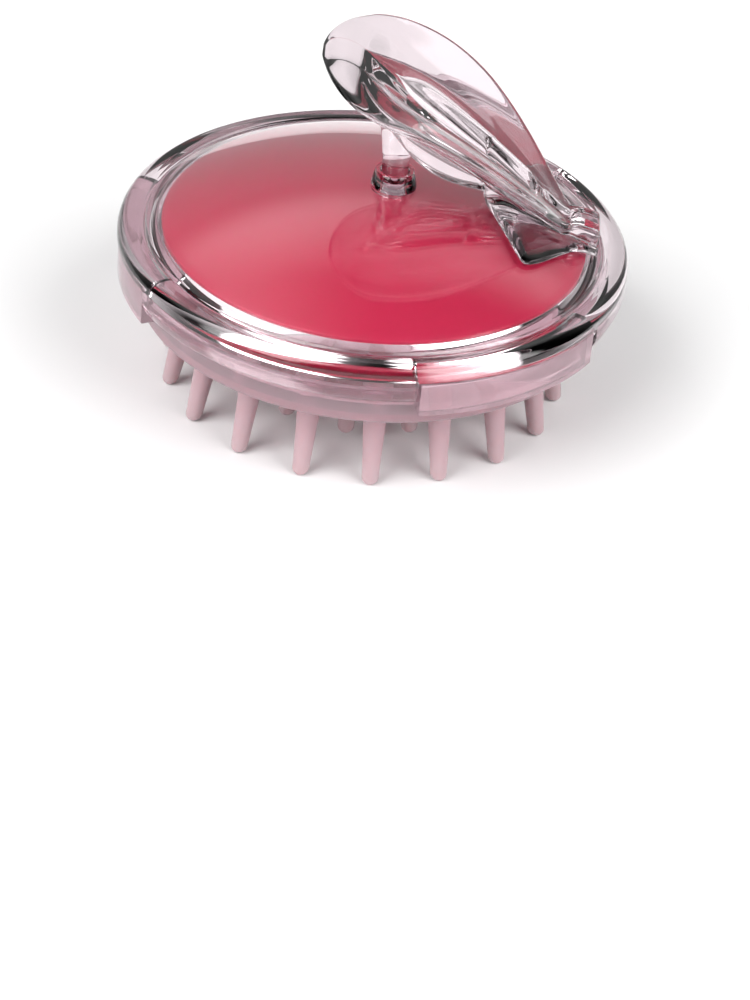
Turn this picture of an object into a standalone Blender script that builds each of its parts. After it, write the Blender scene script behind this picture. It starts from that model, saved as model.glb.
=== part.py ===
"""Scalp massager brush: a clear domed cap with a pink liner under it, a clear petal-shaped finger
grip fixed to the cap, and a clear base plate that carries 37 soft conical tines.

Lengths here are millimetres; new_object() turns them into Blender's metres. The brush stands on its
tines: Z = 0 is the plane of the tine tips, Z is the cap's axis, and the grip lies over the +X side.
"""
import math

import bmesh
import bpy

MM = 0.001
GAP = 0.3                    # clearance between neighbouring pieces

# Driving dimensions
RIM_RADIUS = 44.0            # cap's widest radius
APEX_Z = 38.6                # top of the dome
DOME_RADIUS = 39.0           # where the dome meets the rim groove
DOME_FOOT_Z = 29.3
DOME_WALL = 2.5
SKIRT_INNER = 41.4           # cap's skirt, inside
SKIRT_FOOT_Z = 22.4
NOTCH_TOP_Z = 26.9           # the skirt is cut up to here between its lugs
LUG_COUNT = 3
NOTCH_SPAN = 49.0            # degrees
NOTCH_CENTRE = -52.9        # degrees from +X
LINER_RADIUS = 36.4
LINER_WALL = 1.2
PLATE_Z = 17.0               # underside of the base plate
PLATE_WALL = 2.4
TINE_FOOT_RADIUS = 2.35
TINE_NECK_RADIUS = 1.5
TINE_HEAD_RADIUS = 2.6
TINE_TIP_RADIUS = 1.45
# (name, count, radius at the plate, radius at the tips, height of the tips, first angle in degrees)
TINE_RINGS = (
    ("centre", 1, 0.0, 0.0, 2.0, 0.0),
    ("inner", 6, 9.6, 10.0, 1.8, -124.5),
    ("middle", 12, 20.0, 21.3, 1.4, -94.5),
    ("outer", 18, 31.2, 34.3, 0.0, -84.5),
)
POST_X = 2.5                 # grip's post, and the cap's boss round it
POST_RADIUS = 2.3
BOSS_RADIUS = 3.9
BOSS_TOP_Z = 41.4
SOCKET_FLOOR_Z = 37.3
TENON_X = (35.0, 37.6)       # grip's tenon at the rim
TENON_HALF_WIDTH = 2.0
TENON_FOOT_Z = 29.4
LEAF_TIP_X = -12.3
LEAF_TIP_Z = 66.6
LEAF_ROOT_X = 33.0
LEAF_HALF_WIDTH = 19.6
LEAF_WIDEST_X = 3.0
LEAF_WALL = 2.6
ARM_TIP_X = -3.0
ARM_HEEL_X = 17.8            # where the arm comes down on to the dome
FOOT_TOE_X = 18.0
FOOT_WIDEST_X = 25.0

ROUND_STEPS = 60
SPHERE_RADIUS = (DOME_RADIUS ** 2 + (APEX_Z - DOME_FOOT_Z) ** 2) / (2 * (APEX_Z - DOME_FOOT_Z))

CLEAR = ("clear_plastic", (0.93, 0.82, 0.86, 1), 0.04)
PINK = ("pink_plastic", (0.80, 0.10, 0.20, 1), 0.25)
SOFT = ("soft_tine", (0.86, 0.62, 0.67, 1), 0.45)


def dome_z(radius):
    """Height of the dome's outer surface at a radius."""
    return APEX_Z - SPHERE_RADIUS + math.sqrt(SPHERE_RADIUS ** 2 - radius ** 2)


def material(spec):
    name, colour, roughness = spec
    found = bpy.data.materials.get(name)
    if found:
        return found
    made = bpy.data.materials.new(name)
    made.use_nodes = True
    shader = made.node_tree.nodes["Principled BSDF"]
    shader.inputs["Base Color"].default_value = colour
    shader.inputs["Roughness"].default_value = roughness
    shader.inputs["Metallic"].default_value = 0.0
    made.diffuse_color = colour
    return made


def new_object(name, bm, spec=None):
    """Makes an object in metres from a bmesh in millimetres, with its faces pointing out."""
    bmesh.ops.scale(bm, vec=(MM, MM, MM), verts=bm.verts)
    bmesh.ops.recalc_face_normals(bm, faces=bm.faces)
    mesh = bpy.data.meshes.new(name)
    bm.to_mesh(mesh)
    bm.free()
    mesh.shade_smooth()
    mesh.set_sharp_from_angle(angle=math.radians(35))
    made = bpy.data.objects.new(name, mesh)
    bpy.context.scene.collection.objects.link(made)
    if spec:
        mesh.materials.append(material(spec))
    return made


def lathe(outline, steps=ROUND_STEPS, centre=(0.0, 0.0), turn=0.0):
    """A solid turned from (radius, z) points. Points at radius 0 become one vertex each."""
    bm = bmesh.new()
    rings = []
    for radius, z in outline:
        count = 1 if radius == 0 else steps
        ring = []
        for i in range(count):
            angle = math.radians(turn) + math.tau * i / count
            ring.append(bm.verts.new((centre[0] + radius * math.cos(angle),
                                      centre[1] + radius * math.sin(angle), z)))
        rings.append(ring)
    closed = outline[0][0] > 0 and outline[-1][0] > 0
    pairs = list(zip(rings, rings[1:])) + ([(rings[-1], rings[0])] if closed else [])
    for low, high in pairs:
        for i in range(steps):
            corners = [low[i % len(low)], low[(i + 1) % len(low)],
                       high[(i + 1) % len(high)], high[i % len(high)]]
            bm.faces.new(list(dict.fromkeys(corners)))
    return bm


def loft(sections):
    """A solid through closed sections that all have the same number of points."""
    bm = bmesh.new()
    rings = [[bm.verts.new(point) for point in section] for section in sections]
    count = len(rings[0])
    for low, high in zip(rings, rings[1:]):
        for i in range(count):
            j = (i + 1) % count
            bm.faces.new((low[i], low[j], high[j], high[i]))
    bm.faces.new(rings[0])
    bm.faces.new(rings[-1])
    return bm


def wedge(inner, outer, low_z, high_z, centre, span, steps=10):
    """An arc-shaped block between two radii, for a notch or a lug. Angles in degrees."""
    sections = []
    for i in range(steps + 1):
        angle = math.radians(centre - span / 2 + span * i / steps)
        across = (math.cos(angle), math.sin(angle))
        corners = ((inner, low_z), (outer, low_z), (outer, high_z), (inner, high_z))
        sections.append([(r * across[0], r * across[1], z) for r, z in corners])
    return loft(sections)


def combine(target, other, operation):
    """Adds a Boolean modifier, and hides the other object, which is only a cutter or a piece of it."""
    modifier = target.modifiers.new(other.name, "BOOLEAN")
    modifier.operation = operation
    modifier.solver = "EXACT"
    modifier.object = other
    other.hide_render = True
    other.display_type = "WIRE"


def smooth_step(t):
    t = min(1.0, max(0.0, t))
    return t * t * (3 - 2 * t)


# The cap: a thin dome, a rolled rim with a groove inside it, and a skirt with three lugs.
def cap_shell():
    dome = [(0.0, APEX_Z)] + [(r, dome_z(r)) for r in (7, 14, 21, 27, 33, 38.6)]
    rim = [(39.2, 28.5), (39.8, 28.9), (40.9, 29.2)]
    roll_centre, roll_radius = (42.0, 27.2), 2.0
    for degrees in (85, 57, 29, 0):
        angle = math.radians(degrees)
        rim.append((roll_centre[0] + roll_radius * math.cos(angle),
                    roll_centre[1] + roll_radius * math.sin(angle)))
    skirt = [(RIM_RADIUS, 24.4), (43.3, SKIRT_FOOT_Z), (SKIRT_INNER + 0.4, SKIRT_FOOT_Z),
             (SKIRT_INNER, SKIRT_FOOT_Z + 0.5), (SKIRT_INNER, 27.0)]
    ceiling = [(38.6, 27.0), (38.0, 26.2), (37.0, 26.2), (36.9, dome_z(36.9) - DOME_WALL)]
    under = [(r, dome_z(r) - DOME_WALL) for r in (33, 26, 18, 9)] + [(0.0, APEX_Z - DOME_WALL)]
    cap = new_object("cap_shell", lathe(dome + rim + skirt + ceiling + under), CLEAR)

    boss = new_object("boss_blank", lathe([(0.0, 37.4), (BOSS_RADIUS, 37.4), (BOSS_RADIUS, 39.3),
                                           (3.3, BOSS_TOP_Z), (0.0, BOSS_TOP_Z)], 16, (POST_X, 0.0)))
    combine(cap, boss, "UNION")
    hole = POST_RADIUS + GAP
    socket = new_object("socket_cutter", lathe([(0.0, SOCKET_FLOOR_Z), (hole, SOCKET_FLOOR_Z),
                                                (hole, 44.0), (0.0, 44.0)], 14, (POST_X, 0.0), 7.0))
    combine(cap, socket, "DIFFERENCE")
    mortise = new_object("mortise_cutter", box(TENON_X[0] - GAP, TENON_X[1] + GAP,
                                               TENON_HALF_WIDTH + GAP, TENON_FOOT_Z - GAP, 34.0))
    combine(cap, mortise, "DIFFERENCE")
    for k in range(LUG_COUNT):
        notch = wedge(SKIRT_INNER - 1.0, RIM_RADIUS + 2, SKIRT_FOOT_Z - 1, NOTCH_TOP_Z,
                      NOTCH_CENTRE + k * 360 / LUG_COUNT, NOTCH_SPAN)
        combine(cap, new_object(f"notch_cutter_{k}", notch), "DIFFERENCE")


def box(low_x, high_x, half_y, low_z, high_z):
    corners = ((-half_y, low_z), (half_y, low_z), (half_y, high_z), (-half_y, high_z))
    return loft([[(x, y, z) for y, z in corners] for x in (low_x, high_x)])


# The liner: a thin pink dome that nests under the cap inside its locating rib.
def colour_liner():
    top = DOME_WALL + GAP
    outside = [(r, dome_z(r) - top) for r in (8, 16, 24, 30, LINER_RADIUS)]
    edge = [(LINER_RADIUS, 26.6), (LINER_RADIUS - LINER_WALL, 26.6)]
    inside = [(r, dome_z(r) - top - LINER_WALL) for r in (LINER_RADIUS - LINER_WALL, 30, 24, 16, 8)]
    outline = ([(0.0, APEX_Z - top)] + outside + edge + inside + [(0.0, APEX_Z - top - LINER_WALL)])
    new_object("colour_liner", lathe(outline, 48), PINK)


# The base plate: a flat floor with a wall round it, three lugs that fill the cap's notches,
# and a hole for the neck of each tine.
def base_plate():
    wall_inner, wall_outer = 38.4, SKIRT_INNER - GAP
    outline = [(0.0, PLATE_Z), (37.6, PLATE_Z), (38.4, 16.2), (40.2, 16.2), (wall_outer, 17.0),
               (wall_outer, 25.8), (wall_inner, 25.8), (wall_inner, PLATE_Z + PLATE_WALL),
               (0.0, PLATE_Z + PLATE_WALL)]
    plate = new_object("base_plate", lathe(outline), CLEAR)
    for k in range(LUG_COUNT):
        lug = wedge(39.6, 43.7, 19.8, NOTCH_TOP_Z - GAP, NOTCH_CENTRE + k * 360 / LUG_COUNT,
                    NOTCH_SPAN - 1.2)
        combine(plate, new_object(f"lug_blank_{k}", lug), "UNION")
    holes = bmesh.new()
    for _, foot, _, _ in tine_places():
        hole = lathe([(0.0, PLATE_Z - 1), (TINE_NECK_RADIUS + GAP, PLATE_Z - 1),
                      (TINE_NECK_RADIUS + GAP, PLATE_Z + PLATE_WALL + 1),
                      (0.0, PLATE_Z + PLATE_WALL + 1)], 8, foot, 10.0)
        join(holes, hole)
    combine(plate, new_object("hole_cutters", holes), "DIFFERENCE")


def join(bm, other):
    """Copies another bmesh into this one."""
    scratch = bpy.data.meshes.new("scratch")
    other.to_mesh(scratch)
    bm.from_mesh(scratch)
    bpy.data.meshes.remove(scratch)
    other.free()


def tine_places():
    """Name, place of the foot, and place and height of the tip of every tine."""
    places = []
    for ring, count, foot_radius, tip_radius, tip_z, first in TINE_RINGS:
        for i in range(count):
            angle = math.radians(first + 360 * i / count)
            name = "tine_centre" if count == 1 else f"tine_{ring}_{i + 1:02d}"
            across = (math.cos(angle), math.sin(angle))
            places.append((name, (foot_radius * across[0], foot_radius * across[1]),
                           (tip_radius * across[0], tip_radius * across[1]), tip_z))
    return places


# A tine: a soft cone that leans outwards, with a shoulder under the plate, a neck through it and
# a head over it. Its sections stay level, so every tip ends in a small level flat.
def tines():
    plate_top = PLATE_Z + PLATE_WALL
    shoulder_z = PLATE_Z - GAP
    steps = 8
    for name, foot, tip, tip_z in tine_places():
        profile = [(0.8, tip_z), (TINE_TIP_RADIUS, tip_z + 1.1), (TINE_FOOT_RADIUS, shoulder_z),
                   (TINE_NECK_RADIUS, shoulder_z), (TINE_NECK_RADIUS, plate_top + GAP),
                   (TINE_HEAD_RADIUS, plate_top + GAP), (2.2, plate_top + GAP + 1.2)]
        sections = []
        for radius, z in profile:
            along = min(1.0, (z - tip_z) / (shoulder_z - tip_z))
            x = tip[0] + (foot[0] - tip[0]) * along
            y = tip[1] + (foot[1] - tip[1]) * along
            sections.append([(x + radius * math.cos(math.tau * i / steps),
                              y + radius * math.sin(math.tau * i / steps), z) for i in range(steps)])
        new_object(name, loft(sections), SOFT)


def leaf_z(x):
    """Height of the petal's top along its middle: a straight slope that steepens near the root."""
    return LEAF_TIP_Z - 0.52 * (x - LEAF_TIP_X) - 0.0038 * (x - LEAF_TIP_X) ** 2


def leaf_half_width(x):
    if x < LEAF_WIDEST_X:
        reach = LEAF_WIDEST_X - LEAF_TIP_X
        return LEAF_HALF_WIDTH * (1 - ((LEAF_WIDEST_X - x) / reach) ** 2) ** 0.62
    along = (x - LEAF_WIDEST_X) / (LEAF_ROOT_X - LEAF_WIDEST_X)
    return 3.0 + (LEAF_HALF_WIDTH - 3.0) * math.cos(math.pi / 2 * min(1.0, along) ** 1.4)


def leaf_lift(x):
    """How far the petal's edges curl up above its middle."""
    if x < 1.0:
        return -2.5 * (1.0 - x) / 12.0
    return 4.2 * math.sin(math.pi * min(1.0, (x - 1.0) / 32.0))


def leaf():
    """The petal: a shallow spoon lofted from its round tip to its narrow root."""
    sections = []
    for x in (-12.1, -11.2, -9, -6, -2, 3, 8, 13, 18, 23, 27, 30.5, 33):
        half, lift, middle = leaf_half_width(x), leaf_lift(x), leaf_z(x)
        top, under = [], []
        for share in (-1.0, -0.8, -0.45, 0.0, 0.45, 0.8, 1.0):
            z = middle + lift * share * share
            wall = LEAF_WALL * (1 - 0.55 * share * share) * (0.45 if x < -11.5 else 1)
            inset = 0.0 if abs(share) < 1 else -0.25
            top.append((x, half * share, z - (0.35 if inset else 0)))
            under.append((x, half * share, z - wall))
        sections.append(top + under[::-1])
    return loft(sections)


def arm_floor_z(x):
    """The arm's lower edge: it sweeps down from the petal's underside and ends on the dome."""
    if x < ARM_HEEL_X:
        start, end = leaf_z(ARM_TIP_X) - 3.2, 40.4
        along = (x - ARM_TIP_X) / (ARM_HEEL_X - ARM_TIP_X)
        return start + (end - start) * (1 - (1 - along) ** 2.6)
    return dome_z(x) + GAP + 0.1


def arm_half_width(x):
    return 7.2 - 4.0 * smooth_step((x - 2.0) / 32.0) - 3.5 * smooth_step((1.5 - x) / 5.0)


def arm():
    """The hollow rib under the petal."""
    sections = []
    for x in (-3.0, -1.5, 0.5, 3, 6, 10, 14, 17.6, 18.4, 22, 26, 30, 33):
        half, top, low = arm_half_width(x), leaf_z(x) - 1.0, arm_floor_z(x)
        narrow = 0.5 * half if x < ARM_HEEL_X else 0.8 * half
        waist = low + 0.35 * (top - low)
        sections.append([(x, -half, top), (x, -0.85 * half, waist), (x, -narrow, low + 0.5),
                         (x, -0.6 * narrow, low), (x, 0.6 * narrow, low), (x, narrow, low + 0.5),
                         (x, 0.85 * half, waist), (x, half, top)])
    return loft(sections)


def foot_half_width(x):
    if x < FOOT_WIDEST_X:
        return 1.0 + 14.5 * (x - FOOT_TOE_X) / (FOOT_WIDEST_X - FOOT_TOE_X)
    return 4.5 + 11.0 * (1 - smooth_step((x - FOOT_WIDEST_X) / 12.0))


def foot():
    """The flared foot that spreads the arm's load over the dome, and the block at the rim."""
    sections = []
    for x in (18.0, 20.3, 22.7, FOOT_WIDEST_X, 27.5, 30, 32.5, 35, 38.4):
        half = foot_half_width(x)
        rise = 3.2 if x < 34 else 3.6
        top, under = [], []
        for share in (-1.0, -0.6, -0.25, 0.0, 0.25, 0.6, 1.0):
            y = half * share
            seat = dome_z(min(38.6, math.hypot(x, y))) + GAP
            top.append((x, y, seat + 0.7 + rise * (1 - share * share) ** 1.5))
            under.append((x, y, seat))
        sections.append(top + under[::-1])
    return loft(sections)


def pocket(start, end, shrink, depth):
    """The trough moulded into the petal's top, over the hollow of the arm."""
    sections = []
    for i in range(6):
        along = i / 5
        x = start + (end - start) * along
        half = shrink * arm_half_width(x) * (0.5 if i in (0, 5) else 1.0)
        floor = leaf_z(x) - depth * (0.45 if i == 0 else 1.0)
        sections.append([(x, -half, leaf_z(x) + 8), (x, -0.7 * half, floor),
                         (x, 0.7 * half, floor), (x, half, leaf_z(x) + 8)])
    return loft(sections)


# The grip: petal, arm, foot, post and tenon in one moulding, with two troughs in its top.
def finger_grip():
    grip = new_object("finger_grip", leaf(), CLEAR)
    combine(grip, new_object("arm_blank", arm()), "UNION")
    combine(grip, new_object("foot_blank", foot()), "UNION")
    post = lathe([(0.0, SOCKET_FLOOR_Z + GAP), (POST_RADIUS, SOCKET_FLOOR_Z + GAP),
                  (POST_RADIUS, BOSS_TOP_Z + 2.0), (POST_RADIUS + 0.6, 50.0), (0.0, 50.0)],
                 12, (POST_X, 0.0))
    combine(grip, new_object("post_blank", post), "UNION")
    tenon = box(TENON_X[0], TENON_X[1], TENON_HALF_WIDTH, TENON_FOOT_Z, 32.5)
    combine(grip, new_object("tenon_blank", tenon), "UNION")
    combine(grip, new_object("trough_cutter", pocket(2.0, 26.5, 0.66, 6.0)), "DIFFERENCE")
    combine(grip, new_object("root_trough_cutter", pocket(28.6, 33.4, 0.5, 3.0)), "DIFFERENCE")


def main():
    for old in list(bpy.data.objects):
        bpy.data.objects.remove(old)
    cap_shell()
    colour_liner()
    base_plate()
    tines()
    finger_grip()


main()
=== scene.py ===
"""Scalp massager brush: a clear base plate with soft tines pulled through it, a pink liner, a clear
domed cap with a rolled rim, and a clear petal grip whose post and root stand in the cap.

Sizes are in millimetres on the cap's axis, and MM turns them into metres. The brush stands on its
tines. The grip's root is at the rim on the +X side, and its petal rises from there towards -X.
"""
import math
from collections import namedtuple

import bmesh
import bpy
import numpy as np
from mathutils import Euler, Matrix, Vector


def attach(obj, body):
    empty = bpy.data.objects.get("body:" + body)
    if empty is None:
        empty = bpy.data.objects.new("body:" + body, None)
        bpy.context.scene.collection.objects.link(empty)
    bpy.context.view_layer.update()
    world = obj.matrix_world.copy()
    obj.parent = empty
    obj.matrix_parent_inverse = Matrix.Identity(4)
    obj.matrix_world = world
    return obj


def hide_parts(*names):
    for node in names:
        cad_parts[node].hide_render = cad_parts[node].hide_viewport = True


MM = 0.001
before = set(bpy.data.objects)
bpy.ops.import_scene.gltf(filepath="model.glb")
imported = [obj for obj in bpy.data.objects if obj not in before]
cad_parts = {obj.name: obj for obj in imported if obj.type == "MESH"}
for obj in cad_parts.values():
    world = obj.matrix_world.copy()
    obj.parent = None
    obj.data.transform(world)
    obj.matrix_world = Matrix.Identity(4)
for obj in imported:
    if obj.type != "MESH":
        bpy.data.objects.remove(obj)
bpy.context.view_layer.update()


# --- Base plate ---------------------------------------------------------------------------------
# A clear moulded dish: a flat floor, a wall round it that stands up inside the cap's skirt, and
# three outward lugs that fill the gaps between the cap's own lugs, almost flush with its rim.

PLATE_UNDER, PLATE_TOP = 17.0, 19.4
WALL_IN, WALL_OUT, WALL_FOOT, WALL_TOP = 39.1, 40.3, 16.2, 23.6
LUG_OUT, LUG_FOOT, LUG_TOP = 43.7, 19.8, 25.9
GAP_CENTRE, GAP_SPAN, GAP_COUNT = -52.9, 49.0, 3      # degrees: the gaps in the cap's skirt
LUG_TRIM = 0.6                                        # degrees of play at each end of a lug
TINE_HOLE, HOLE_SIDES = 1.8, 16
PLATE_TINT = (0.86, 0.63, 0.70, 1)


def in_skirt_gap(angle, trim):
    """True where the cap's skirt is cut away, less trim degrees at each end."""
    pitch = 360 / GAP_COUNT
    off = (angle - GAP_CENTRE + pitch / 2) % pitch - pitch / 2
    return abs(off) < GAP_SPAN / 2 - trim


def columns(trim, step=2.0):
    """Angles round the axis, with a close pair at each end of each skirt gap for a crisp step."""
    half_pair, clear = 0.12, 0.9
    angles = list(np.arange(0, 360, step))
    for k in range(GAP_COUNT):
        for side in (-1, 1):
            edge = GAP_CENTRE + k * 360 / GAP_COUNT + side * (GAP_SPAN / 2 - trim)
            angles = [a for a in angles if abs((a - edge + 180) % 360 - 180) > clear]
            angles += [(edge - half_pair) % 360, (edge + half_pair) % 360]
    return sorted(angles)


def turned(outline_at, angles, top_z, under_z):
    """A closed solid with one outline of (radius, z) for each angle and a pole at each end."""
    bm = bmesh.new()
    rows = []
    for angle in angles:
        c, s = math.cos(math.radians(angle)), math.sin(math.radians(angle))
        rows.append([bm.verts.new((r * c * MM, r * s * MM, z * MM)) for r, z in outline_at(angle)])
    start, end = bm.verts.new((0, 0, top_z * MM)), bm.verts.new((0, 0, under_z * MM))
    for a, b in zip(rows, rows[1:] + rows[:1]):
        bm.faces.new((start, a[0], b[0]))
        for i in range(len(a) - 1):
            bm.faces.new((a[i], a[i + 1], b[i + 1], b[i]))
        bm.faces.new((a[-1], end, b[-1]))
    bmesh.ops.recalc_face_normals(bm, faces=bm.faces)
    return bm


def rounded(points, radius, steps=3):
    """An open (radius, z) outline with each inner corner replaced by a small arc."""
    done = [points[0]]
    for before, corner, after in zip(points, points[1:], points[2:]):
        p, q, r = (np.array(v, float) for v in (before, corner, after))
        reach = min(radius, 0.45 * np.linalg.norm(p - q), 0.45 * np.linalg.norm(r - q))
        a = q + (p - q) / np.linalg.norm(p - q) * reach
        b = q + (r - q) / np.linalg.norm(r - q) * reach
        for t in np.linspace(0, 1, steps):
            done.append(tuple((1 - t) ** 2 * a + 2 * t * (1 - t) * q + t * t * b))
    return done + [points[-1]]


def new_piece(name, bm):
    """Makes an object of a mesh, with the faces of a closed shape turned outwards."""
    if bm.calc_volume(signed=True) < 0:
        bmesh.ops.reverse_faces(bm, faces=bm.faces)
    mesh = bpy.data.meshes.new(name)
    bm.to_mesh(mesh)
    bm.free()
    mesh.shade_smooth()
    piece = bpy.data.objects.new(name, mesh)
    bpy.context.scene.collection.objects.link(piece)
    return piece


def carve(piece, tool, operation):
    """Applies one exact Boolean with a throwaway tool object."""
    modifier = piece.modifiers.new("carve", "BOOLEAN")
    modifier.operation, modifier.solver, modifier.object = operation, "EXACT", tool
    bake(piece)
    bpy.data.objects.remove(tool)


def bake(piece):
    """Turns the piece's modifiers into its plain mesh."""
    bpy.context.view_layer.update()
    evaluated = piece.evaluated_get(bpy.context.evaluated_depsgraph_get())
    result = bpy.data.meshes.new_from_object(evaluated)
    piece.modifiers.clear()
    old = piece.data
    piece.data = result
    bpy.data.meshes.remove(old)
    result.name = piece.name


def smooth_by_angle(piece, degrees):
    piece.data.shade_smooth()
    piece.data.set_sharp_from_angle(angle=math.radians(degrees))


def plate_outline(angle):
    """From the floor's top, over the wall and the lug or the plain side, to the floor's underside."""
    lug = in_skirt_gap(angle, LUG_TRIM)
    if lug:
        crest = LUG_TOP
        side = [(LUG_OUT, LUG_TOP), (LUG_OUT, LUG_FOOT), (WALL_OUT, LUG_FOOT)]
    else:
        crest = WALL_TOP
        side = [(WALL_OUT, WALL_TOP - 0.4), (WALL_OUT, LUG_FOOT + 0.2), (WALL_OUT, LUG_FOOT - 0.1)]
    floor = [(12, PLATE_TOP), (25, PLATE_TOP), (36, PLATE_TOP), (WALL_IN, PLATE_TOP)]
    wall = [(WALL_IN, WALL_TOP), (WALL_IN + 0.4, WALL_TOP), (WALL_IN + 0.6, crest), (WALL_OUT, crest)]
    foot = [(WALL_OUT, PLATE_UNDER), (WALL_OUT - 0.1, WALL_FOOT), (WALL_IN, WALL_FOOT)]
    under = [(37.6, PLATE_UNDER), (25, PLATE_UNDER), (12, PLATE_UNDER)]
    return rounded([(2, PLATE_TOP)] + floor + wall + side + foot + under + [(2, PLATE_UNDER)], 0.35)


def peg_cutters(places, radius, low, high):
    """Upright pegs, one for each hole."""
    bm = bmesh.new()
    for x, y in places:
        ring = [[bm.verts.new(((x + radius * math.cos(t)) * MM, (y + radius * math.sin(t)) * MM, z * MM))
                 for t in np.linspace(0.1, math.tau + 0.1, HOLE_SIDES + 1)[:-1]] for z in (low, high)]
        for i in range(HOLE_SIDES):
            j = (i + 1) % HOLE_SIDES
            bm.faces.new((ring[0][i], ring[0][j], ring[1][j], ring[1][i]))
        bm.faces.new(ring[0][::-1])
        bm.faces.new(ring[1])
    return bm


Ring = namedtuple("Ring", "name count foot tip tip_z first")
RINGS = (Ring("centre", 1, 0.0, 0.0, 2.0, 0.0), Ring("inner", 6, 9.6, 10.0, 1.8, -124.5),
         Ring("middle", 12, 20.0, 21.3, 1.4, -94.5), Ring("outer", 18, 31.2, 34.3, 0.0, -84.5))


def ring_places(ring, radius):
    """The (x, y) places of a ring's tines at the given radius."""
    turns = [math.radians(ring.first + 360 * i / ring.count) for i in range(ring.count)]
    return [(radius * math.cos(t), radius * math.sin(t)) for t in turns]


base = new_piece("base_dish", turned(plate_outline, columns(LUG_TRIM), PLATE_TOP, PLATE_UNDER))
all_feet = [place for ring in RINGS for place in ring_places(ring, ring.foot)]
carve(base, new_piece("holes", peg_cutters(all_feet, TINE_HOLE, PLATE_UNDER - 1, PLATE_TOP + 1)),
      "DIFFERENCE")
smooth_by_angle(base, 40)


class Wire:
    """A shader socket that arithmetic can be written on."""

    def __init__(self, tree, socket):
        self.tree, self.socket = tree, socket

    def maths(self, operation, first, second):
        node = self.tree.nodes.new("ShaderNodeMath")
        node.operation = operation
        for slot, value in zip(node.inputs, (first, second)):
            if isinstance(value, Wire):
                self.tree.links.new(value.socket, slot)
            else:
                slot.default_value = value
        return Wire(self.tree, node.outputs[0])

    def __add__(self, other):
        return self.maths("ADD", self, other)

    __radd__ = __add__

    def __sub__(self, other):
        return self.maths("SUBTRACT", self, other)

    def __mul__(self, other):
        return self.maths("MULTIPLY", self, other)

    __rmul__ = __mul__

    def __truediv__(self, other):
        return self.maths("DIVIDE", self, other)


class Bench:
    """A shader tree being wired up."""

    def __init__(self, tree, shader):
        self.tree, self.shader = tree, tree.nodes[shader]

    def node(self, kind, settings=None, output=0, **sockets):
        """Adds a node, applies its settings, then fills its sockets with values or wires."""
        node = self.tree.nodes.new("ShaderNode" + kind)
        for key, value in (settings or {}).items():
            if key == "stops":
                ramp = node.color_ramp.elements
                while len(ramp) < len(value):
                    ramp.new(0.5)
                for element, (place, colour) in zip(ramp, value):
                    element.position, element.color = place, colour
            else:
                setattr(node, key, value)
        for key, value in sockets.items():
            slot = next((s for s in node.inputs if s.identifier == key), None) \
                or node.inputs[key.replace("_", " ")]
            if isinstance(value, Wire):
                self.tree.links.new(value.socket, slot)
            else:
                slot.default_value = value
        return Wire(self.tree, node.outputs[output])

    def feed(self, socket, wire):
        self.tree.links.new(wire.socket, self.shader.inputs[socket])


class Finish(Bench):
    """A material under construction: one Principled shader and the nodes that feed it."""

    def __init__(self, name, **values):
        self.material = bpy.data.materials.new(name)
        self.material.use_nodes = True
        super().__init__(self.material.node_tree, "Principled BSDF")
        for key, value in values.items():
            self.shader.inputs[key.replace("_", " ")].default_value = value

    def place(self):
        return self.node("TexCoord", output=3)


def clear_plastic(name, tint, haze, milk):
    """Polished clear plastic with slow moulding ripples, handling haze and a share of milkiness."""
    finish = Finish(name, Base_Color=tint, Roughness=0.02, IOR=1.59, Transmission_Weight=1.0 - milk)
    at = finish.place()
    ripple = finish.node("TexNoise", Vector=at, Scale=55.0, Detail=1.0)
    smear = finish.node("TexNoise", Vector=at, Scale=180.0, Detail=3.0, Roughness=0.6)
    finish.feed("Roughness", 0.008 + haze * smear * smear)
    finish.feed("Normal", finish.node("Bump", Height=ripple, Strength=0.03, Distance=0.001))
    return finish.material


base.data.materials.clear()
base.data.materials.append(clear_plastic("clear_plate", PLATE_TINT, 0.05, 0.22))
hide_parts("base_plate")
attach(base, "root")


# --- Tines --------------------------------------------------------------------------------------
# Soft milky elastomer cones, each moulded with a neck and a head and pulled down through its hole
# in the plate. The outer rings lean outwards; every tine ends in a small dome.

TINE_SIDES = 28
SHOULDER, TIP_RADIUS, TIP_RISE, FOOT_RADIUS = PLATE_UNDER - 0.3, 1.45, 1.35, 2.35
NECK_RADIUS, HEAD_RADIUS, HEAD_TOP = 1.5, 2.6, PLATE_TOP + 1.5
TONE_HEIGHT = 21.0
Station = namedtuple("Station", "z radius")


def tine_outline(tip_z):
    """(z, radius) up one tine, from its domed tip to the head above the plate."""
    outline = []
    for t in np.linspace(0, 1, 7)[1:]:
        outline.append(Station(tip_z + TIP_RISE * (1 - math.cos(t * math.pi / 2)),
                               TIP_RADIUS * math.sin(t * math.pi / 2)))
    for t in np.linspace(0, 1, 9)[1:]:
        z = tip_z + TIP_RISE + (SHOULDER - 0.7 - tip_z - TIP_RISE) * t
        outline.append(Station(z, TIP_RADIUS + (FOOT_RADIUS - 0.12 - TIP_RADIUS) * t ** 1.15))
    outline += [Station(SHOULDER - 0.25, FOOT_RADIUS), Station(SHOULDER - 0.04, FOOT_RADIUS - 0.06),
                Station(SHOULDER, FOOT_RADIUS - 0.3), Station(SHOULDER, NECK_RADIUS),
                Station(PLATE_TOP + 0.3, NECK_RADIUS), Station(PLATE_TOP + 0.3, HEAD_RADIUS - 0.25),
                Station(PLATE_TOP + 0.5, HEAD_RADIUS), Station(PLATE_TOP + 1.05, HEAD_RADIUS - 0.1),
                Station(PLATE_TOP + 1.4, HEAD_RADIUS - 0.7), Station(HEAD_TOP, HEAD_RADIUS - 1.6)]
    return outline


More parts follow.
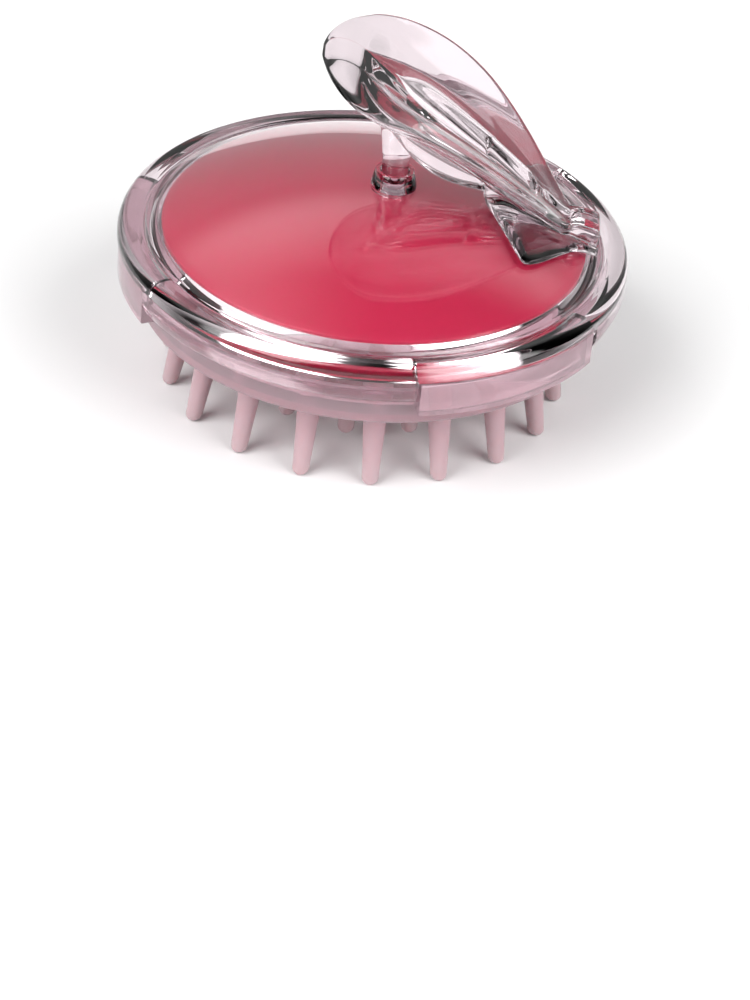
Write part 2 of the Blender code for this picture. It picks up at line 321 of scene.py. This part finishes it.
def tine_blank(tip_z):
    """One upright tine on the axis."""
    bm = bmesh.new()
    rings = []
    for station in tine_outline(tip_z):
        rings.append([bm.verts.new((station.radius * math.cos(t) * MM, station.radius * math.sin(t) * MM,
                                    station.z * MM))
                      for t in np.linspace(0, math.tau, TINE_SIDES + 1)[:-1]])
    for low, high in zip(rings, rings[1:]):
        for i in range(TINE_SIDES):
            j = (i + 1) % TINE_SIDES
            bm.faces.new((low[i], low[j], high[j], high[i]))
    tip = bm.verts.new((0, 0, tip_z * MM))
    crown = bm.verts.new((0, 0, HEAD_TOP * MM))
    for i in range(TINE_SIDES):
        j = (i + 1) % TINE_SIDES
        bm.faces.new((tip, rings[0][j], rings[0][i]))
        bm.faces.new((crown, rings[-1][i], rings[-1][j]))
    return new_piece("tine_blank", bm)


def tine_ring_tree():
    """Leans one tine outwards, copies it round a circle and joins the copies."""
    tree = bpy.data.node_groups.new("tine ring", "GeometryNodeTree")
    face = tree.interface
    for kind, label in (("NodeSocketObject", "Tine"), ("NodeSocketInt", "Count"),
                        ("NodeSocketFloat", "Foot Radius"), ("NodeSocketFloat", "Tip Radius"),
                        ("NodeSocketFloat", "Tip Height"), ("NodeSocketFloat", "Shoulder Height"),
                        ("NodeSocketFloat", "First Angle"), ("NodeSocketMaterial", "Material")):
        face.new_socket(label, in_out="INPUT", socket_type=kind)
    face.new_socket("Geometry", in_out="OUTPUT", socket_type="NodeSocketGeometry")
    given = tree.nodes.new("NodeGroupInput")

    def add(kind, links=None, **settings):
        node = tree.nodes.new(kind)
        for key, value in settings.items():
            setattr(node, key, value)
        for slot, value in (links or {}).items():
            if isinstance(value, bpy.types.NodeSocket):
                tree.links.new(value, node.inputs[slot])
            else:
                node.inputs[slot].default_value = value
        return node

    def sum_of(operation, first, second):
        return add("ShaderNodeMath", {0: first, 1: second}, operation=operation).outputs[0]

    blank = add("GeometryNodeObjectInfo", {"Object": given.outputs["Tine"]}, transform_space="RELATIVE")
    height = add("ShaderNodeSeparateXYZ", {0: add("GeometryNodeInputPosition").outputs[0]}).outputs["Z"]
    reach = sum_of("SUBTRACT", given.outputs["Shoulder Height"], given.outputs["Tip Height"])
    below = sum_of("DIVIDE", sum_of("SUBTRACT", given.outputs["Shoulder Height"], height), reach)
    clamped = add("ShaderNodeClamp", {"Value": below}).outputs[0]
    lean = sum_of("MULTIPLY", clamped,
                  sum_of("SUBTRACT", given.outputs["Tip Radius"], given.outputs["Foot Radius"]))
    leaning = add("GeometryNodeSetPosition", {"Geometry": blank.outputs["Geometry"],
                                              "Offset": add("ShaderNodeCombineXYZ",
                                                            {0: lean}).outputs[0]})
    moved = add("GeometryNodeTransform",
                {"Geometry": leaning.outputs[0],
                 "Translation": add("ShaderNodeCombineXYZ",
                                    {0: given.outputs["Foot Radius"]}).outputs[0]})
    spots = add("GeometryNodePoints", {"Count": given.outputs["Count"]})
    step = sum_of("DIVIDE", math.tau, given.outputs["Count"])
    angle = sum_of("ADD", given.outputs["First Angle"],
                   sum_of("MULTIPLY", step, add("GeometryNodeInputIndex").outputs[0]))
    copies = add("GeometryNodeInstanceOnPoints",
                 {"Points": spots.outputs[0], "Instance": moved.outputs[0],
                  "Rotation": add("ShaderNodeCombineXYZ", {2: angle}).outputs[0]})
    joined = add("GeometryNodeRealizeInstances", {"Geometry": copies.outputs[0]})
    coloured = add("GeometryNodeSetMaterial", {"Geometry": joined.outputs[0],
                                               "Material": given.outputs["Material"]})
    tree.links.new(coloured.outputs[0], add("NodeGroupOutput").inputs[0])
    return tree


def soft_elastomer():
    """Milky pink elastomer, slightly satin, a little greyer at the tip and paler at the head."""
    finish = Finish("soft_elastomer", Roughness=0.38, IOR=1.43, Subsurface_Weight=0.65,
                    Subsurface_Radius=(1.0, 0.55, 0.55), Subsurface_Scale=0.0035)
    at = finish.place()
    height = finish.node("SeparateXYZ", output=2, Vector=at)
    cloud = finish.node("TexNoise", Vector=at, Scale=220.0, Detail=2.0)
    up = height / (TONE_HEIGHT * MM) + 0.16 * (cloud - 0.5)
    tones = ((0.02, (0.44, 0.33, 0.35, 1)), (0.45, (0.44, 0.30, 0.33, 1)),
             (0.80, (0.46, 0.28, 0.32, 1)), (0.95, (0.62, 0.46, 0.50, 1)))
    colour = finish.node("ValToRGB", {"stops": tones}, Fac=up)
    finish.feed("Base Color", colour)
    grain = finish.node("TexNoise", Vector=at, Scale=900.0, Detail=2.0)
    finish.feed("Roughness", 0.30 + 0.16 * grain)
    finish.feed("Normal", finish.node("Bump", Height=grain, Strength=0.06, Distance=0.0004))
    return finish.material


milky = soft_elastomer()
ring_tree = tine_ring_tree()
for ring in RINGS:
    blank = tine_blank(ring.tip_z)
    tines = new_piece(f"tines_{ring.name}", bmesh.new())
    maker = tines.modifiers.new("ring", "NODES")
    maker.node_group = ring_tree
    sizes = {"Tine": blank, "Count": ring.count, "Foot Radius": ring.foot * MM,
             "Tip Radius": ring.tip * MM, "Tip Height": ring.tip_z * MM,
             "Shoulder Height": SHOULDER * MM, "First Angle": math.radians(ring.first),
             "Material": milky}
    for item in ring_tree.interface.items_tree:
        if item.in_out == "INPUT":
            maker[item.identifier] = sizes[item.name]
    bake(tines)
    bpy.data.objects.remove(blank)
    smooth_by_angle(tines, 45)
    nodes = [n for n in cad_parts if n.startswith(f"tine_{ring.name}")]
    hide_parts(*nodes)
    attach(tines, "root")


# --- Colour liner -------------------------------------------------------------------------------
# A thin pink dome moulded in opaque plastic. It nests up against the underside of the clear cap,
# inside the cap's locating rib, and gives the brush its colour.

APEX, DOME_EDGE, DOME_FOOT, DOME_WALL = 38.6, 39.0, 29.3, 1.0
LINER_EDGE, LINER_WALL, LINER_FOOT, LINER_PLAY = 36.4, 1.2, 26.6, 0.3
SPHERE = (DOME_EDGE ** 2 + (APEX - DOME_FOOT) ** 2) / (2 * (APEX - DOME_FOOT))


def dome_z(radius):
    """The height of the cap's domed top."""
    return APEX - SPHERE + math.sqrt(SPHERE ** 2 - radius ** 2)


LINER_DROP = DOME_WALL + LINER_PLAY


def liner_outline(_):
    """Out over the liner's top, round its edge and back along its underside."""
    top = [(r, dome_z(r) - LINER_DROP) for r in (3, 7, 11, 15, 19, 23, 27, 30, 33, 35)]
    under = [(r, dome_z(r) - (LINER_DROP + LINER_WALL)) for r in (35.2, 33, 30, 27, 23, 19, 15, 11, 7, 3)]
    edge = [(LINER_EDGE, dome_z(LINER_EDGE) - LINER_DROP), (LINER_EDGE, LINER_FOOT),
            (LINER_EDGE - LINER_WALL, LINER_FOOT)]
    return top + rounded([top[-1]] + edge + [under[0]], 0.3)[1:-1] + under


liner = new_piece("colour_liner_dome", turned(liner_outline, list(np.arange(0, 360, 2.5)),
                                              APEX - LINER_DROP, APEX - LINER_DROP - LINER_WALL))
smooth_by_angle(liner, 40)

finish = Finish("pink_liner", Roughness=0.32, IOR=1.45)
at = finish.place()
drift = finish.node("TexNoise", Vector=at, Scale=22.0, Detail=2.0)
fleck = finish.node("TexNoise", Vector=at, Scale=2600.0, Detail=2.0)
mix = drift * 0.7 + fleck * 0.3
pinks = ((0.30, (0.86, 0.040, 0.120, 1)), (0.70, (0.92, 0.060, 0.155, 1)))
finish.feed("Base Color", finish.node("ValToRGB", {"stops": pinks}, Fac=mix))
finish.feed("Roughness", 0.24 + 0.14 * fleck)
finish.feed("Normal", finish.node("Bump", Height=fleck, Strength=0.05, Distance=0.0003))
liner.data.materials.append(finish.material)
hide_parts("colour_liner")
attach(liner, "root")


# --- Cap shell ----------------------------------------------------------------------------------
# The clear outer moulding: a thin dome, a groove, a rolled rim, and a skirt that is cut into three
# lugs. A collar on the dome takes the grip's post and a slot at the rim takes its root tenon.

RIM, SKIRT_FOOT, SKIRT_IN, SKIRT_GAP_TOP = 44.0, 22.42, 40.83, 26.27
CEILING, LIP_FOOT, LIP_IN, LIP_OUT = 25.28, 24.58, 36.98, 38.64
POST_X, POST_RADIUS = 2.5, 2.3
COLLAR_RADIUS, COLLAR_TOP, SOCKET_FLOOR = 3.9, 41.4, 37.3
TENON_LOW, TENON_HIGH, TENON_HALF, TENON_FOOT = 35.0, 37.6, 2.0, 29.4
SOCKET_PLAY = 0.3
CAP_TINT = (0.95, 0.85, 0.89, 1)


def cap_outline(angle):
    """Out over the dome, the groove and the rim, down the skirt, and back along the underside."""
    gap = in_skirt_gap(angle, 0.0)
    dome = [(r, dome_z(r)) for r in (2, 4, 6, 9, 12, 15, 18, 21, 24, 27, 30, 33, 35.5, 37.5)]
    rim = [(39.09, dome_z(39.0)), (39.49, 28.8), (39.99, 29.05), (40.89, 29.2)]
    roll = [(42.0 + 2.0 * math.cos(t), 27.2 + 2.0 * math.sin(t))
            for t in np.radians((85, 70, 55, 40, 25, 10))]
    if gap:
        skirt = [(RIM, SKIRT_GAP_TOP + 0.2), (43.8, SKIRT_GAP_TOP), (42.0, SKIRT_GAP_TOP),
                 (SKIRT_IN, SKIRT_GAP_TOP), (SKIRT_IN - 0.8, SKIRT_GAP_TOP - 0.1)]
    else:
        skirt = [(RIM, 24.4), (43.3, SKIRT_FOOT), (42.0, SKIRT_FOOT), (SKIRT_IN, SKIRT_FOOT),
                 (SKIRT_IN, CEILING)]
    ceiling = [(LIP_OUT, CEILING), (LIP_OUT, LIP_FOOT), (LIP_IN, LIP_FOOT),
               (LIP_IN, dome_z(LIP_IN) - DOME_WALL)]
    under = [(r, dome_z(r) - DOME_WALL) for r in (35, 33, 30, 27, 24, 20, 16, 12, 8, 4)]
    return dome + rounded([dome[-1]] + rim + [roll[0]], 0.15)[1:-1] \
        + roll + rounded([roll[-1]] + skirt + ceiling + [under[0]], 0.12)[1:-1] + under


cap = new_piece("cap_clear", turned(cap_outline, columns(0.0, 1.6), APEX, APEX - DOME_WALL))


def spun(outline, x, steps=40):
    """A solid turned from (radius, z) about the upright line at x."""
    bm = bmesh.new()
    rows = []
    for t in np.linspace(0.05, math.tau + 0.05, steps + 1)[:-1]:
        rows.append([bm.verts.new(((x + r * math.cos(t)) * MM, r * math.sin(t) * MM, z * MM))
                     for r, z in outline])
    for a, b in zip(rows, rows[1:] + rows[:1]):
        for i in range(len(a) - 1):
            bm.faces.new((a[i], a[i + 1], b[i + 1], b[i]))
    bm.faces.new([row[0] for row in rows])
    bm.faces.new([row[-1] for row in rows])
    bmesh.ops.recalc_face_normals(bm, faces=bm.faces)
    return new_piece("spun", bm)


def block(low, high):
    """A square-cornered block between two opposite corners."""
    bm = bmesh.new()
    bmesh.ops.create_cube(bm, size=1.0)
    size, middle = (np.array(high) - low) * MM, (np.array(high) + low) / 2 * MM
    bmesh.ops.scale(bm, vec=size, verts=bm.verts)
    bmesh.ops.translate(bm, vec=middle, verts=bm.verts)
    return new_piece("block", bm)


collar = [(COLLAR_RADIUS, 37.4), (COLLAR_RADIUS, 38.9), (3.75, 39.4), (3.4, 41.0), (3.2, COLLAR_TOP)]
carve(cap, spun(collar, POST_X), "UNION")
socket = [(POST_RADIUS + SOCKET_PLAY, SOCKET_FLOOR), (POST_RADIUS + SOCKET_PLAY, COLLAR_TOP + 2.6)]
carve(cap, spun(socket, POST_X), "DIFFERENCE")
carve(cap, block((TENON_LOW - SOCKET_PLAY, -TENON_HALF - SOCKET_PLAY, TENON_FOOT - SOCKET_PLAY),
                 (TENON_HIGH + SOCKET_PLAY, TENON_HALF + SOCKET_PLAY, 34.0)), "DIFFERENCE")
smooth_by_angle(cap, 38)
cap.data.materials.clear()
cap.data.materials.append(clear_plastic("clear_cap", CAP_TINT, 0.004, 0.0))
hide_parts("cap_shell")
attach(cap, "root")


# --- Finger grip --------------------------------------------------------------------------------
# One clear moulding. A petal rises over the cap, with a trough sunk along its middle over a deep
# keel. The keel comes down on to a flared foot, and a post and a tenon fix the grip to the cap.

TIP_X, TIP_Z, ROOT_X = -11.5, 66.1, 33.0
WIDEST_X, HALF_WIDTH = 3.0, 20.4
PETAL_WALL, TIP_WALL = 2.5, 1.4
KEEL_START_X, HEEL_X, HEEL_Z, FOOT_X = -3.0, 17.8, 40.4, 25.0
TROUGH_START, TROUGH_END, TROUGH_DEPTH = 1.0, 26.6, 5.6
SLOT_START, SLOT_END, SLOT_DEPTH = 28.0, 33.4, 2.6
BLOCK_X, BLOCK_TOP = 31.8, 36.1
GRIP_TINT = (0.84, 0.74, 0.78, 1)


def ease(t):
    """A smooth step from 0 to 1."""
    t = min(1.0, max(0.0, t))
    return t * t * (3 - 2 * t)


def petal_z(x):
    """The crest line: the petal's middle, then the root block behind it."""
    z = TIP_Z - 0.52 * (x - TIP_X) - 0.0038 * (x - TIP_X) ** 2 - 3.4 * max(0.0, (-6.0 - x) / 5.5) ** 2
    block = BLOCK_TOP - 0.34 * max(0.0, x - 35.0)
    return z + (block - z) * ease((x - BLOCK_X) / 2.2)


def petal_half(x):
    """Half of the petal's width: a blunt round tip, then a long taper to the root."""
    if x < WIDEST_X:
        return HALF_WIDTH * (1 - ((WIDEST_X - x) / (WIDEST_X - TIP_X)) ** 2) ** 0.53
    along = min(1.0, (x - WIDEST_X) / (ROOT_X - WIDEST_X))
    return 3.4 + (HALF_WIDTH - 3.4) * math.cos(math.pi / 2 * along ** 1.4)


def petal_lift(x):
    """How far the petal's edges stand above its middle; they turn down at its tip."""
    if x < -3:
        return -1.5 * math.sin(math.pi * min(1.0, (-3 - x) / 8.5))
    return 4.6 * math.sin(math.pi * min(1.0, (x + 3) / 36))


def petal_top(x, y):
    """The petal's top face."""
    half = max(petal_half(x), 0.5)
    return petal_z(x) + petal_lift(x) * (y / half) ** 2


def petal_under(x, y, depth):
    """The point that far below the petal's top face, measured square to the face near its tip."""
    along = (petal_top(x + 0.05, y) - petal_top(x - 0.05, y)) / 0.1
    across = (petal_top(x, y + 0.05) - petal_top(x, y - 0.05)) / 0.1
    square = ease((1 - x) / 6)
    shift = depth * square / math.sqrt(1 + along ** 2 + across ** 2)
    return (x + along * shift, max(0.0, y + across * shift),
            petal_top(x, y) - shift - depth * (1 - square))


def keel_z(x):
    """The keel's lower edge: down from the petal to the heel, then along the dome."""
    if x < KEEL_START_X - 0.2:
        return TIP_Z
    if x >= HEEL_X:
        return dome_z(x) + 0.4
    start, run = petal_z(KEEL_START_X) - 3.2, HEEL_X - KEEL_START_X
    return start + (HEEL_Z - start) * (1 - max(0.0, 1 - (x - KEEL_START_X) / run) ** 2.6)


def keel_half(x):
    return 7.2 - 4.0 * ease((x - 2) / 32) - 3.5 * ease((1.5 - x) / 5)


def trough(x):
    """Half-width and depth of the sunk trough and of the short slot behind it."""
    if TROUGH_START < x < TROUGH_END:
        deep = ease((x - TROUGH_START) / 5.0) * ease((TROUGH_END - x) / 1.2)
        wide = 0.8 + (0.64 * keel_half(x) - 0.8) * ease((x - TROUGH_START) / 7.0) ** 0.7
        return wide, TROUGH_DEPTH * deep
    if SLOT_START < x < SLOT_END:
        middle = (SLOT_START + SLOT_END) / 2
        deep = ease((x - SLOT_START) / 0.8) * ease((SLOT_END - x) / 0.8)
        return 1.1 + 0.5 * abs(x - middle) / (SLOT_END - middle), SLOT_DEPTH * deep
    return 1.2, 0.0


def foot_half(x):
    """Half of the flared foot's width."""
    if x < FOOT_X:
        return 1.0 + 14.5 * max(0.0, x - 18.0) / (FOOT_X - 18.0)
    return 4.5 + 11.0 * (1 - ease((x - FOOT_X) / 12))


def seat_z(x, y):
    """Where the foot rests, just clear of the dome."""
    return dome_z(min(38.6, math.hypot(x, y))) + 0.35


def grip_section(x):
    """The right half of the section at x, from the trough's floor round to the keel's bottom."""
    half = petal_half(x)
    inner, depth = trough(x)
    inner = min(inner, 0.45 * half)
    # the trough's floor and side, then the top face out to the petal's edge
    points = [(x, share * inner, petal_top(x, share * inner) - depth * (1 - rise))
              for share, rise in ((0.0, 0.0), (0.62, 0.0), (0.86, 0.14), (0.97, 0.6))]
    for share in (0.0, 0.06, 0.16, 0.34, 0.55, 0.76, 0.92):
        y = inner + (half - inner) * share
        bead = 0.22 if depth > 0.5 and share == 0.06 else 0.0
        points.append((x, y, petal_top(x, y) + bead))
    thin = min(PETAL_WALL - (PETAL_WALL - TIP_WALL) * ease((2 - x) / 8), 0.25 + 0.5 * half)
    points += [petal_under(x, half, 0.25 * thin), petal_under(x, half, 0.45 * thin)]
    keel = min(keel_half(x), (0.6 + 0.35 * ease((x - 33) / 2)) * half)
    for share in (0.9, 0.62, 0.3):
        y = keel + (half - keel) * share
        fillet = 2.6 * (1 - share) ** 2 * min(1.0, max(0.0, half - 5) / 8) * ease((x + 4) / 6)
        points.append(petal_under(x, y, thin * (1 - 0.5 * (y / half) ** 2) + fillet))
    # the keel's side, from the petal's underside down
    lean, _, top = petal_under(x, keel, thin)
    low = min(keel_z(x), top - 0.05)
    drop = top - low
    squeeze = 1 - 0.5 * min(1.0, drop / 8)
    points += [(lean, keel * (0.94 + 0.06 * squeeze), top - 0.12 * drop),
               (lean, keel * (0.8 * squeeze + 0.2), top - 0.5 * drop)]
    if x < HEEL_X + 0.1:
        nib = keel * squeeze
        return points + [(lean, nib, top - 0.85 * drop), (lean, 0.9 * nib, top - 0.96 * drop),
                         (lean, 0.72 * nib, low), (lean, 0.45 * nib, low), (lean, 0, low)]
    # past the heel the keel spreads into the foot, which rests on the dome
    flange = foot_half(x)
    nib = min(keel * 0.9, flange * 0.8)
    step = (nib + flange) / 2
    rib = max(min(seat_z(x, nib) + 1.1, top - 0.6 * drop), top - 0.85 * drop)
    brow = min(seat_z(x, step) + 1.25, rib + 0.2)
    return points + [(x, nib, rib), (x, step, brow), (x, flange, min(seat_z(x, flange) + 0.75, brow)),
                     (x, flange * 0.99, seat_z(x, flange)), (x, 0, seat_z(x, 0))]


def loft_grip():
    """The sections joined along the grip, with a small rounded closure at each end."""
    stations = [-11.44, -11.34, -11.1, -10.6, -9.7, -8.4, -6.8, -5.2, -3.7, -3.0, -1, 0.8, 2.0, 3.2, 4.6,
                6.5, 9, 12, 15, 17.0, 17.75, 18.0, 19.6, 21.6, 23.4, 25.0, 25.8, 26.7, 27.8, 28.6,
                30.4, 32.0, 33.0, 33.8, 34.6, 36.0, 37.6, 38.3]
    bm = bmesh.new()
    rows = []
    for x in stations:
        right = grip_section(x)
        loop = right + [(px, -y, z) for px, y, z in right[-2:0:-1]]
        rows.append([bm.verts.new((px * MM, y * MM, z * MM)) for px, y, z in loop])
    count = len(rows[0])
    for a, b in zip(rows, rows[1:]):
        for i in range(count):
            j = (i + 1) % count
            bm.faces.new((a[i], b[i], b[j], a[j]))
    for row, order, reach in ((rows[0], 1, -0.06), (rows[-1], -1, 0.1)):
        middle = (row[0].co + row[count // 2].co) / 2
        ring = [bm.verts.new(middle.lerp(v.co, 0.35) + Vector((reach * MM, 0, 0))) for v in row]
        pole = bm.verts.new(middle + Vector((reach * MM, 0, 0)))
        for i in range(count):
            j = (i + 1) % count
            bm.faces.new((row[i], row[j], ring[j], ring[i])[::order])
            bm.faces.new((ring[i], ring[j], pole)[::order])
    return new_piece("grip_petal", bm)


grip = loft_grip()
smoother = grip.modifiers.new("smooth", "SUBSURF")
smoother.levels = smoother.render_levels = 2
bake(grip)
carve(grip, spun([(POST_RADIUS, SOCKET_FLOOR + 0.3), (POST_RADIUS, 43.4), (2.6, 46.0), (3.4, 51.0)],
                 POST_X), "UNION")
carve(grip, block((TENON_LOW, -TENON_HALF, TENON_FOOT), (TENON_HIGH, TENON_HALF, 33.4)), "UNION")
smooth_by_angle(grip, 50)
grip.data.materials.clear()
grip.data.materials.append(clear_plastic("clear_grip", GRIP_TINT, 0.006, 0.0))
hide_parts("finger_grip")
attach(grip, "root")


# --- Floor, light and camera --------------------------------------------------------------------
# A plain pale floor, two soft boxes in front of the brush at left and right, and a soft glow behind
# and above it. The room in front stays dark, which gives the clear rim its black bands.

FLOOR_SIZE, FLOOR_GREY = 4.0, 0.85

bm = bmesh.new()
bmesh.ops.create_grid(bm, x_segments=1, y_segments=1, size=FLOOR_SIZE)
floor = new_piece("floor", bm)
finish = Finish("pale_floor", Base_Color=(FLOOR_GREY, FLOOR_GREY, FLOOR_GREY, 1), Roughness=0.7)
floor.data.materials.append(finish.material)

Softbox = namedtuple("Softbox", "azimuth height half_width half_height power")
SOFTBOXES = (Softbox(-140.0, 36.0, 0.40, 0.50, 5.4), Softbox(-33.0, 36.0, 0.42, 0.50, 4.4))
BOX_SOFTNESS = 0.08
BACK_LIGHT, HIGH_BACK, HIGH_LEFT, ROOM = 0.42, 0.8, 0.9, 0.01

world = bpy.data.worlds.new("studio")
bpy.context.scene.world = world
world.use_nodes = True
room = Bench(world.node_tree, "Background")
room.shader.inputs["Color"].default_value = (1, 1, 1, 1)
toward = room.node("TexCoord")
back = room.node("SeparateXYZ", output=1, Vector=toward)
up = room.node("SeparateXYZ", output=2, Vector=toward)
aside = room.node("SeparateXYZ", output=0, Vector=toward)


def step_up(value, low, high):
    """A soft edge from 0 at low to 1 at high."""
    return room.node("MapRange", {"interpolation_type": "SMOOTHSTEP"}, Value=value, From_Min=low,
                     From_Max=high)


def along(axis):
    """How far the looking direction points along an axis."""
    return room.node("VectorMath", {"operation": "DOT_PRODUCT"}, output=1, Vector=toward,
                     Vector_001=tuple(axis))


def box_edge(offset, half_size):
    """1 inside a soft box's half size, and 0 outside it."""
    distance = room.node("Math", {"operation": "ABSOLUTE"}, Value=offset)
    return step_up(distance, half_size + BOX_SOFTNESS, half_size - BOX_SOFTNESS)


glow = ROOM + step_up(back, 0.15, 0.55) * BACK_LIGHT * step_up(up, 0.8, 0.45) \
    + HIGH_BACK * step_up(up, 0.50, 0.68) * step_up(back, 0.38, 0.70) \
    + HIGH_LEFT * step_up(up, 0.55, 0.85) * step_up(aside, 0.1, -0.6)
for box in SOFTBOXES:
    turn = Euler((0, math.radians(-box.height), math.radians(box.azimuth)))
    facing = turn.to_matrix() @ Vector((1, 0, 0))
    across = facing.cross(Vector((0, 0, 1))).normalized()
    ahead = along(facing)
    mask = box_edge(along(across) / ahead, box.half_width) \
        * box_edge(along(across.cross(facing)) / ahead, box.half_height)
    glow = glow + mask * step_up(ahead, 0.1, 0.12) * box.power
room.feed("Strength", glow)

camera = bpy.data.objects.new("camera", bpy.data.cameras.new("camera"))
camera.data.lens, camera.data.sensor_width = 122.47, 36
camera.data.clip_start = 0.01
camera.location = (0.0, -0.50547, 0.32476)
camera.rotation_euler = Euler([math.radians(a) for a in (55.0264, -4.7589, 2.7790)])
bpy.context.scene.collection.objects.link(camera)
bpy.context.scene.camera = camera
bpy.context.scene.view_settings.view_transform = "Standard"
